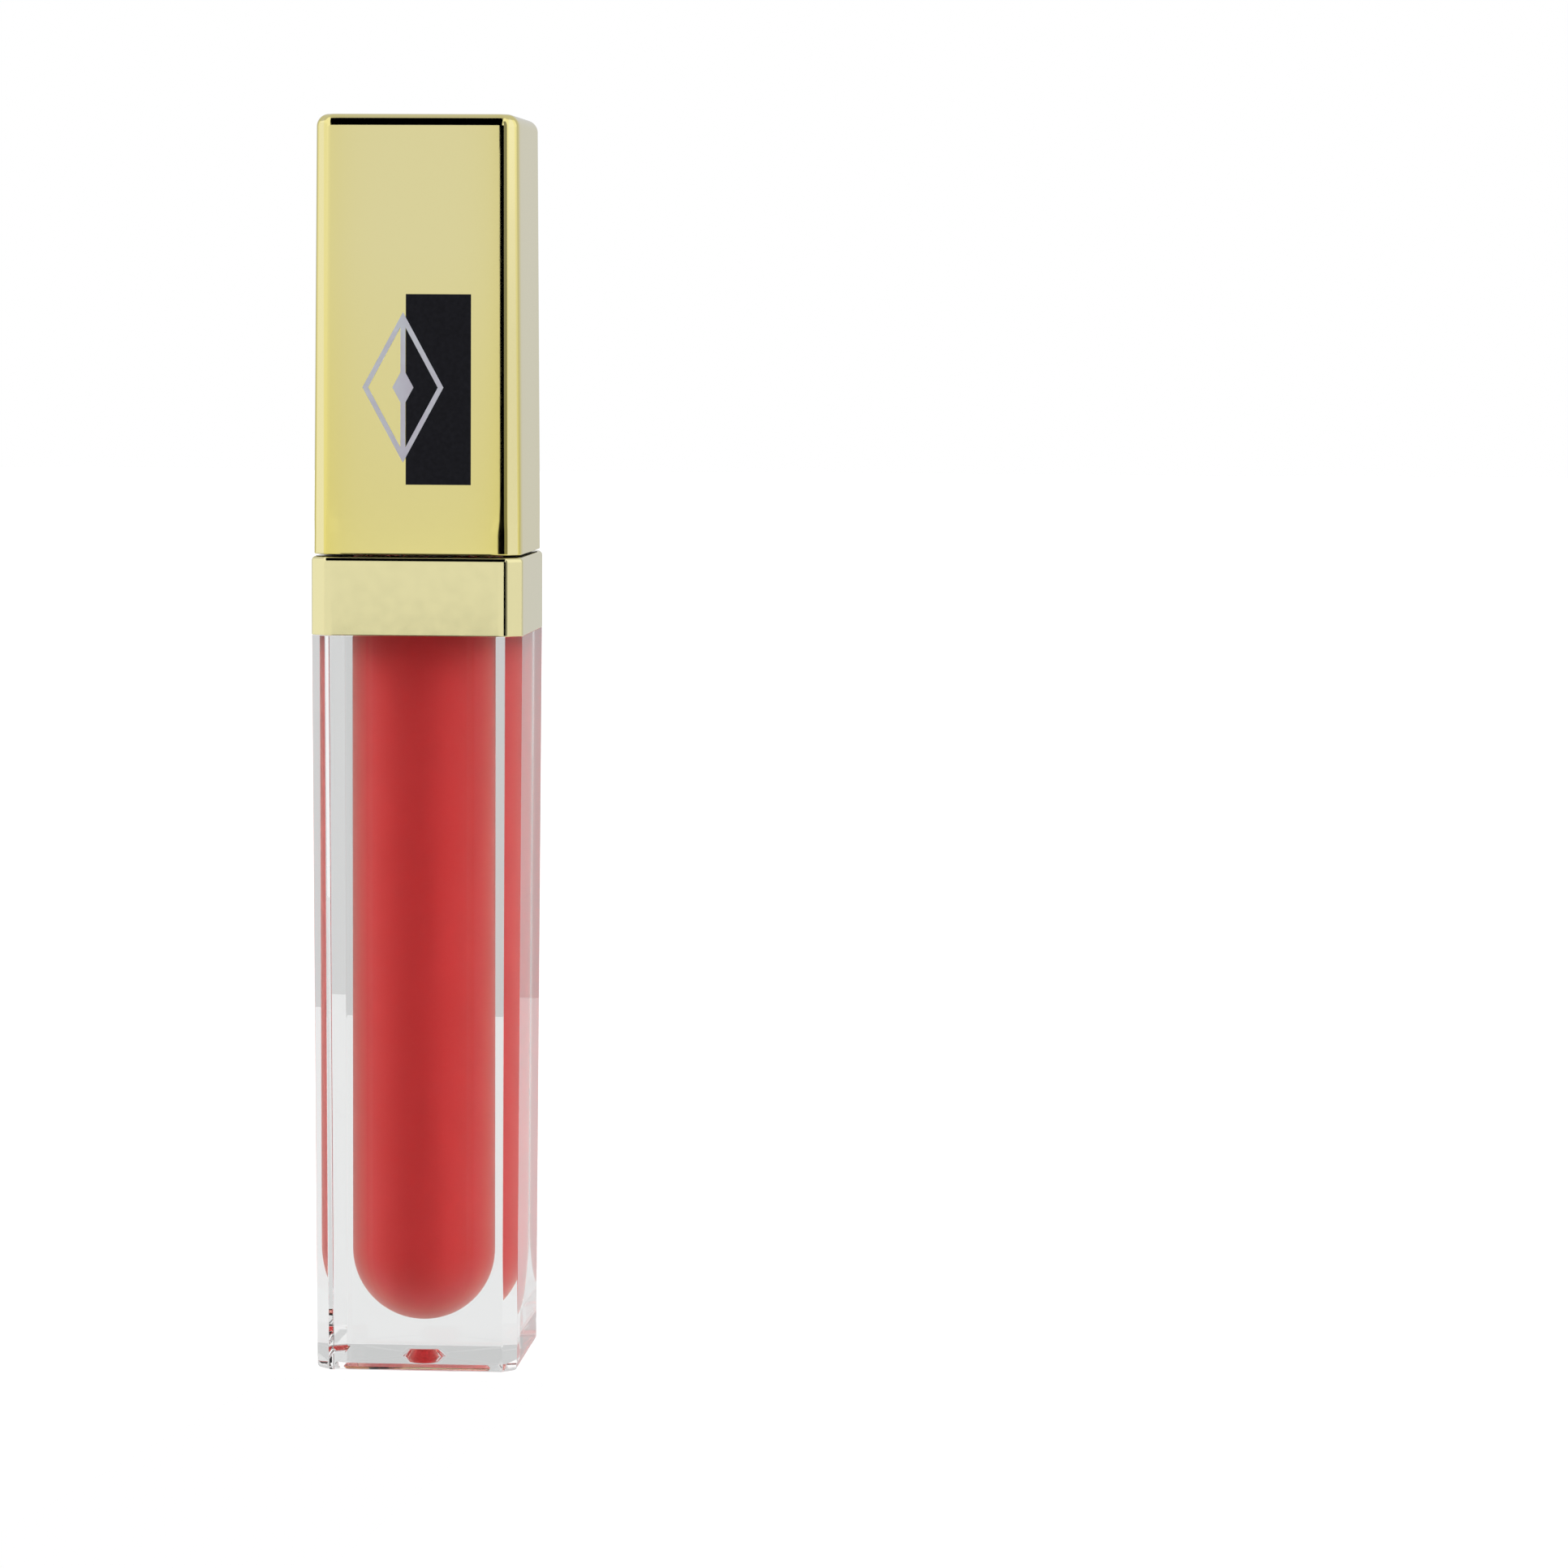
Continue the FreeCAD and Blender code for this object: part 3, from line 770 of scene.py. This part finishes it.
def arc_points(start, middle, end, steps):
    """Points along the circle through three points."""
    (ax, ay), (bx, by), (cx, cy) = start, middle, end
    d = 2 * (ax * (by - cy) + bx * (cy - ay) + cx * (ay - by))
    a2, b2, c2 = ax * ax + ay * ay, bx * bx + by * by, cx * cx + cy * cy
    ux = (a2 * (by - cy) + b2 * (cy - ay) + c2 * (ay - by)) / d
    uy = (a2 * (cx - bx) + b2 * (ax - cx) + c2 * (bx - ax)) / d
    radius = math.hypot(ax - ux, ay - uy)
    first, last = math.atan2(ay - uy, ax - ux), math.atan2(cy - uy, cx - ux)
    points = []
    for i in range(steps + 1):
        a = mix(first, last, i / steps)
        points.append((ux + radius * math.cos(a), uy + radius * math.sin(a)))
    return points


def slant_y(z):
    return mix(SLANT_LOW[0], SLANT_HIGH[0], (z - SLANT_LOW[1]) / (SLANT_HIGH[1] - SLANT_LOW[1]))


def tip_rings(outset, top=STEM_END_Z):
    """Rings of the slanted tip; outset gives each point's distance outside the flock, in mm."""
    profile = []
    for arc, steps in zip(TIP_PROFILE, TIP_STEPS):
        profile += arc_points(*arc, steps)[1:]
    rings = []
    for r, z in profile:
        if r + 2 * outset(0.0, z) < slant_y(z) + NARROWEST_RING or z > top:
            continue
        ring = []
        for i in range(TIP_AROUND):
            b = 2 * math.pi * i / TIP_AROUND
            grow = outset(b, z)
            radius = r + grow
            y = max(radius * math.sin(b), slant_y(z) - grow)
            half_chord = math.sqrt(max(radius * radius - y * y, 0.0))
            x = min(max(radius * math.cos(b), -half_chord), half_chord)
            ring.append(Vector((x, y, z)))
        rings.append(ring)
    return rings


def ripple(b, z, seed=0.0):
    """A smooth, irregular value between about -1 and 1 round and along the tip."""
    value = math.sin(3 * b + 1.7 * z + seed) + math.sin(5 * b - 0.9 * z + 2.1 * seed)
    return (value + math.sin(2 * b + 0.6 * z + 4.0 + seed)) / 3


def make_flock():
    """The tip under its pile: a soft, slightly uneven body."""
    dice = random.Random(7)

    def outset(b, z):
        return -FIBRE_LENGTH * 0.85 + FLOCK_RIPPLE * ripple(b, z) + dice.uniform(-FLOCK_GRAIN, FLOCK_GRAIN)

    return skin("flock_body", tip_rings(outset), FLOCK, cap_first=True, cap_last=True, sharp=80)


def add_fibre(bm, foot, tip, normal):
    """A three-sided spike."""
    side = normal.orthogonal().normalized() * FIBRE_HALF_WIDTH
    other = normal.cross(side)
    base = [foot + side, foot - side * 0.5 + other * 0.87, foot - side * 0.5 - other * 0.87]
    corners = [bm.verts.new(p * MM) for p in base]
    point = bm.verts.new(tip * MM)
    for m in range(3):
        bm.faces.new((corners[m], corners[(m + 1) % 3], point))


def make_fibres():
    """The pile itself: short thin spikes that stand on the tip where the cream doesn't cover it."""
    dice = random.Random(11)
    surface = tip_rings(lambda b, z: -FIBRE_LENGTH)
    bm = bmesh.new()
    for low, high in zip(surface, surface[1:]):
        count = len(low)
        for i in range(count):
            j = (i + 1) % count
            a, b, c, d = low[i], low[j], high[j], high[i]
            normal = (c - a).cross(d - b)
            area = normal.length / 2
            on_flat_face = a.y <= slant_y(a.z) + 0.3
            if normal.dot(Vector((a.x, a.y, 0))) < 0 and not on_flat_face:
                normal.negate()
            if a.z < FIBRES_FROM_Z or area < 1e-5:
                continue
            normal.normalize()
            for _ in range(int(area * FIBRES_PER_MM2 + dice.random())):
                u, v = dice.random(), dice.random()
                foot = (a * (1 - u) + b * u) * (1 - v) + (d * (1 - u) + c * u) * v
                lean = Vector([dice.uniform(-FIBRE_LEAN, FIBRE_LEAN) for _ in range(3)])
                tip = foot + (normal + lean).normalized() * FIBRE_LENGTH * dice.uniform(*FIBRE_LENGTHS)
                if math.hypot(tip.x, tip.y) <= STEM_RADIUS and tip.z <= STEM_END_Z - 0.02:
                    add_fibre(bm, foot, tip, normal)
    return finish_mesh("flock_pile", bm, FLOCK, sharp=180)


def make_coat():
    """The cream that clings to the tip: a wet, smooth film with an uneven edge."""
    slow, quick = COAT_EDGE_WAVES
    under, height = COAT_FADE

    def outset(b, z):
        edge = COAT_EDGE_Z + slow * ripple(b, 0.0, 2.0) + quick * math.sin(9 * b)
        film = COAT_THICKNESS * (0.75 + 0.25 * ripple(b, z, 1.0))
        return mix(film, -COAT_SINK, smooth(clamp((z - edge + under) / height)))

    rings = tip_rings(outset, COAT_TOP_Z)
    return skin("cream_on_tip", rings, CREAM_FILM, cap_first=True, cap_last=True, sharp=60)


# ---------------------------------------------------------------- pieces on their bodies

def dress(node, material):
    """Gives a CAD node, whose shape stays, its material."""
    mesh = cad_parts[node].data
    mesh.materials.clear()
    mesh.materials.append(material)


def place(piece, body, slot, *nodes):
    """Puts a piece on its body, in the place of the CAD nodes named."""
    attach(piece, body)
    if nodes:
        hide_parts(*nodes)


place(make_cap_shell(), "cap_and_wand", "pale_gold_plating", "cap_shell")
place(make_collar(), "filled_bottle", "pale_gold_plating", "collar")
place(make_bottle(), "filled_bottle", "clear_plastic", "bottle")
place(make_gloss(), "filled_bottle", "gloss_filling", "lip_gloss")
place(make_flock(), "cap_and_wand", "flock", "applicator_flock")
place(make_fibres(), "cap_and_wand", "flock")
place(make_coat(), "cap_and_wand", "gloss_filling")

dress("wiper", stained_wiper())
dress("inner_cap", moulded("hard_natural", (0.84, 0.84, 0.82), 0.4, 0.3))
dress("liner_washer", moulded("liner_foam", (0.88, 0.88, 0.86), 0.7))
dress("stem_o_ring", moulded("silicone", (0.75, 0.75, 0.73), 0.5, 0.3))
dress("wand_stem", smeared_stem())
dress("applicator_core", moulded("tip_core", (0.80, 0.78, 0.74), 0.5))
dress("cap_print_panel", black_ink())
dress("cap_print_motif", silver_foil())


# ---------------------------------------------------------------- camera and studio, in metres

CAMERA_AT = (0.06333, -0.48687, 0.08949)
CAMERA_TURN = 3.816  # degrees to the left of +Y
CAMERA_TILT = -4.601  # degrees, downwards
CAMERA_ROLL = 0.304
CAMERA_LENS = 130.28  # mm, on a 36 mm sensor

ROOM_LEVEL = 0.76  # the white room's level, for everything but the bare background
ROOM_DRIFT = (-0.06, -0.04, -0.18)  # how that level changes towards +X, +Y and +Z
ROOM_SIDES = 0.13  # how much brighter it is at both sides
ROOM_HIGH = 240.0  # the soft lights that hang above both sides
ROOM_HIGH_RIGHT = 0.25  # how much stronger the right one is, and weaker the left one
ROOM_HIGH_BACK = 0.35  # how far round to the back they reach
ROOM_MIRRORED_MAX = 1.05  # the brightest that a mirror or the clear plastic shows

FLOOR_DROP = 0.00002  # under the tube
FLOOR_SPAN = 3
FLOOR_GREY = (0.10, 0.10, 0.10)
FLOOR_GLOW = 0.70

FRONT_Y = -0.62  # the dark cards in front of the tube
DARK_ROOM_X = (0.035, 0.46)
DARK_ROOM_TOP = 0.27
HEADER_X = (-0.25, 0.20)
HEADER_Z = (0.25, 0.85)
HEADER_BACK_Y = -0.08
APRON_FAR = ((-0.17, -0.98, 0), (-0.09, -0.98, 0))
APRON_NEAR = ((0.012, -0.012, 0), (-0.012, -0.012, 0))
APRON_GREY = (0.04, 0.04, 0.04)
FLAG_X = (-0.38, 0.06)
FLAG_Y = -0.55
FLAG_Z = (0.09, 0.62)
LEFT_WALL_X = -0.75
LEFT_WALL_Y = (-0.5, 0.5)
LEFT_WALL_TOP = 0.4
LEFT_WALL_GLOW = 0.96
GREY_TOP = 0.9
WING_END = (0.80, -0.28)
WING_GLOW = 0.27
BACKDROP_X = (-0.7, 0.7)
BACKDROP_Y = 0.26
BACKDROP_GLOW = 0.64

LIGHT_BOUNCES = 48
MIRROR_BOUNCES = 24


def make_camera():
    data = bpy.data.cameras.new("camera")
    data.lens = CAMERA_LENS
    data.sensor_width = 36
    data.clip_start = 0.01
    camera = bpy.data.objects.new("camera", data)
    turn = Matrix.Rotation(math.radians(CAMERA_TURN), 4, "Z")
    tilt = Matrix.Rotation(math.radians(90 + CAMERA_TILT), 4, "X")
    roll = Matrix.Rotation(math.radians(CAMERA_ROLL), 4, "Z")
    camera.matrix_world = Matrix.Translation(CAMERA_AT) @ turn @ tilt @ roll
    bpy.context.scene.collection.objects.link(camera)
    bpy.context.scene.camera = camera


def make_world():
    """A white room, brighter to both sides, with a strong soft light above each side.

    The strong lights light what scatters light, such as the filling. What only mirrors or refracts
    shows them no brighter than ROOM_MIRRORED_MAX. The bare background is white.
    """
    world = bpy.data.worlds.new("room")
    world.use_nodes = True
    tree = world.node_tree

    direction = tree.nodes.new("ShaderNodeTexCoord").outputs["Generated"]
    toward = split_xyz(tree, direction)
    drift = vector_node(tree, "DOT_PRODUCT", direction, ROOM_DRIFT)
    sideways = product(tree, toward["X"], toward["X"])
    up = math_node(tree, "MAXIMUM", toward["Z"], 0.0)
    forward = math_node(tree, "SUBTRACT", ROOM_HIGH_BACK, toward["Y"])
    forward = math_node(tree, "MAXIMUM", forward, 0.0)
    strength = math_node(tree, "ADD", product(tree, toward["X"], ROOM_HIGH_RIGHT), 1.0)
    strength = product(tree, strength, ROOM_HIGH)
    high = product(tree, up, up, forward, strength, product(tree, sideways, sideways))
    sides = product(tree, math_node(tree, "ADD", high, ROOM_SIDES), sideways)
    room = math_node(tree, "ADD", sides, math_node(tree, "ADD", drift, ROOM_LEVEL))

    path = tree.nodes.new("ShaderNodeLightPath")
    mirrored = math_node(tree, "MINIMUM", room, ROOM_MIRRORED_MAX)
    scattered = math_node(tree, "MINIMUM", path.outputs["Diffuse Depth"], 1.0)
    above = product(tree, math_node(tree, "SUBTRACT", room, mirrored), scattered)
    background = tree.nodes["Background"]
    feed(tree, background.inputs["Strength"], unless_camera(tree, math_node(tree, "ADD", mirrored, above)))
    feed(tree, background.inputs["Color"], WHITE)
    bpy.context.scene.world = world


def card(name, corners, colour=BLACK, glow=0.0):
    """A flat studio card that the camera doesn't see itself."""
    bm = bmesh.new()
    bm.faces.new([bm.verts.new(c) for c in corners])
    bmesh.ops.subdivide_edges(bm, edges=bm.edges, cuts=3, use_grid_fill=True)
    mesh = bpy.data.meshes.new(name)
    bm.to_mesh(mesh)
    bm.free()
    piece = bpy.data.objects.new(name, mesh)
    bpy.context.scene.collection.objects.link(piece)
    material, tree, shader = new_material(name)
    set_inputs(tree, shader, {"Base Color": colour, "Roughness": 1.0, "Specular IOR Level": 0.0})
    if glow:
        set_inputs(tree, shader, {"Emission Color": WHITE, "Emission Strength": glow})
    mesh.materials.append(material)
    piece.visible_camera = False
    return piece


def upright(start, end, low, high):
    """The corners of an upright card over the line between two (x, y) places."""
    return [(*start, low), (*end, low), (*end, high), (*start, high)]


def make_floor():
    """A floor that is as white as the background to the camera, and greyer to everything else."""
    left, right = -FLOOR_SPAN, FLOOR_SPAN
    corners = [(left, left, 0), (right, left, 0), (right, right, 0), (left, right, 0)]
    floor = card("floor", corners, FLOOR_GREY, FLOOR_GLOW)
    floor.location.z = -FLOOR_DROP
    floor.visible_camera = True
    tree = floor.data.materials[0].node_tree
    shader = tree.nodes["Principled BSDF"]
    feed(tree, shader.inputs["Emission Strength"], unless_camera(tree, FLOOR_GLOW))


def make_studio():
    """The cards that the gold-coloured faces mirror and the clear plastic refracts."""
    room_left, room_right = DARK_ROOM_X
    card("dark_room", upright((room_left, FRONT_Y), (room_right, FRONT_Y), 0, DARK_ROOM_TOP))

    left, right = HEADER_X
    low, high = HEADER_Z
    lower_edge = [(left, FRONT_Y, low), (right, FRONT_Y, low)]
    upper_edge = [(right, HEADER_BACK_Y, high), (left, HEADER_BACK_Y, high)]
    card("dark_header", lower_edge + upper_edge)

    apron = card("dark_apron", [*APRON_FAR, *APRON_NEAR], APRON_GREY)
    apron.visible_transmission = False
    flag = card("front_flag", upright((FLAG_X[0], FLAG_Y), (FLAG_X[1], FLAG_Y), *FLAG_Z))
    flag.visible_glossy = False

    near, far = LEFT_WALL_Y
    wall = upright((LEFT_WALL_X, near), (LEFT_WALL_X, far), 0, LEFT_WALL_TOP)
    card("left_wall", wall, glow=LEFT_WALL_GLOW)
    card("grey_wing", upright((room_right, FRONT_Y), WING_END, 0, GREY_TOP), glow=WING_GLOW)
    backdrop = upright((BACKDROP_X[0], BACKDROP_Y), (BACKDROP_X[1], BACKDROP_Y), 0, GREY_TOP)
    card("grey_backdrop", backdrop, glow=BACKDROP_GLOW)


make_camera()
make_world()
make_floor()
make_studio()
bpy.context.scene.view_settings.view_transform = "Standard"
bpy.context.scene.cycles.max_bounces = LIGHT_BOUNCES
bpy.context.scene.cycles.transmission_bounces = LIGHT_BOUNCES
bpy.context.scene.cycles.glossy_bounces = MIRROR_BOUNCES
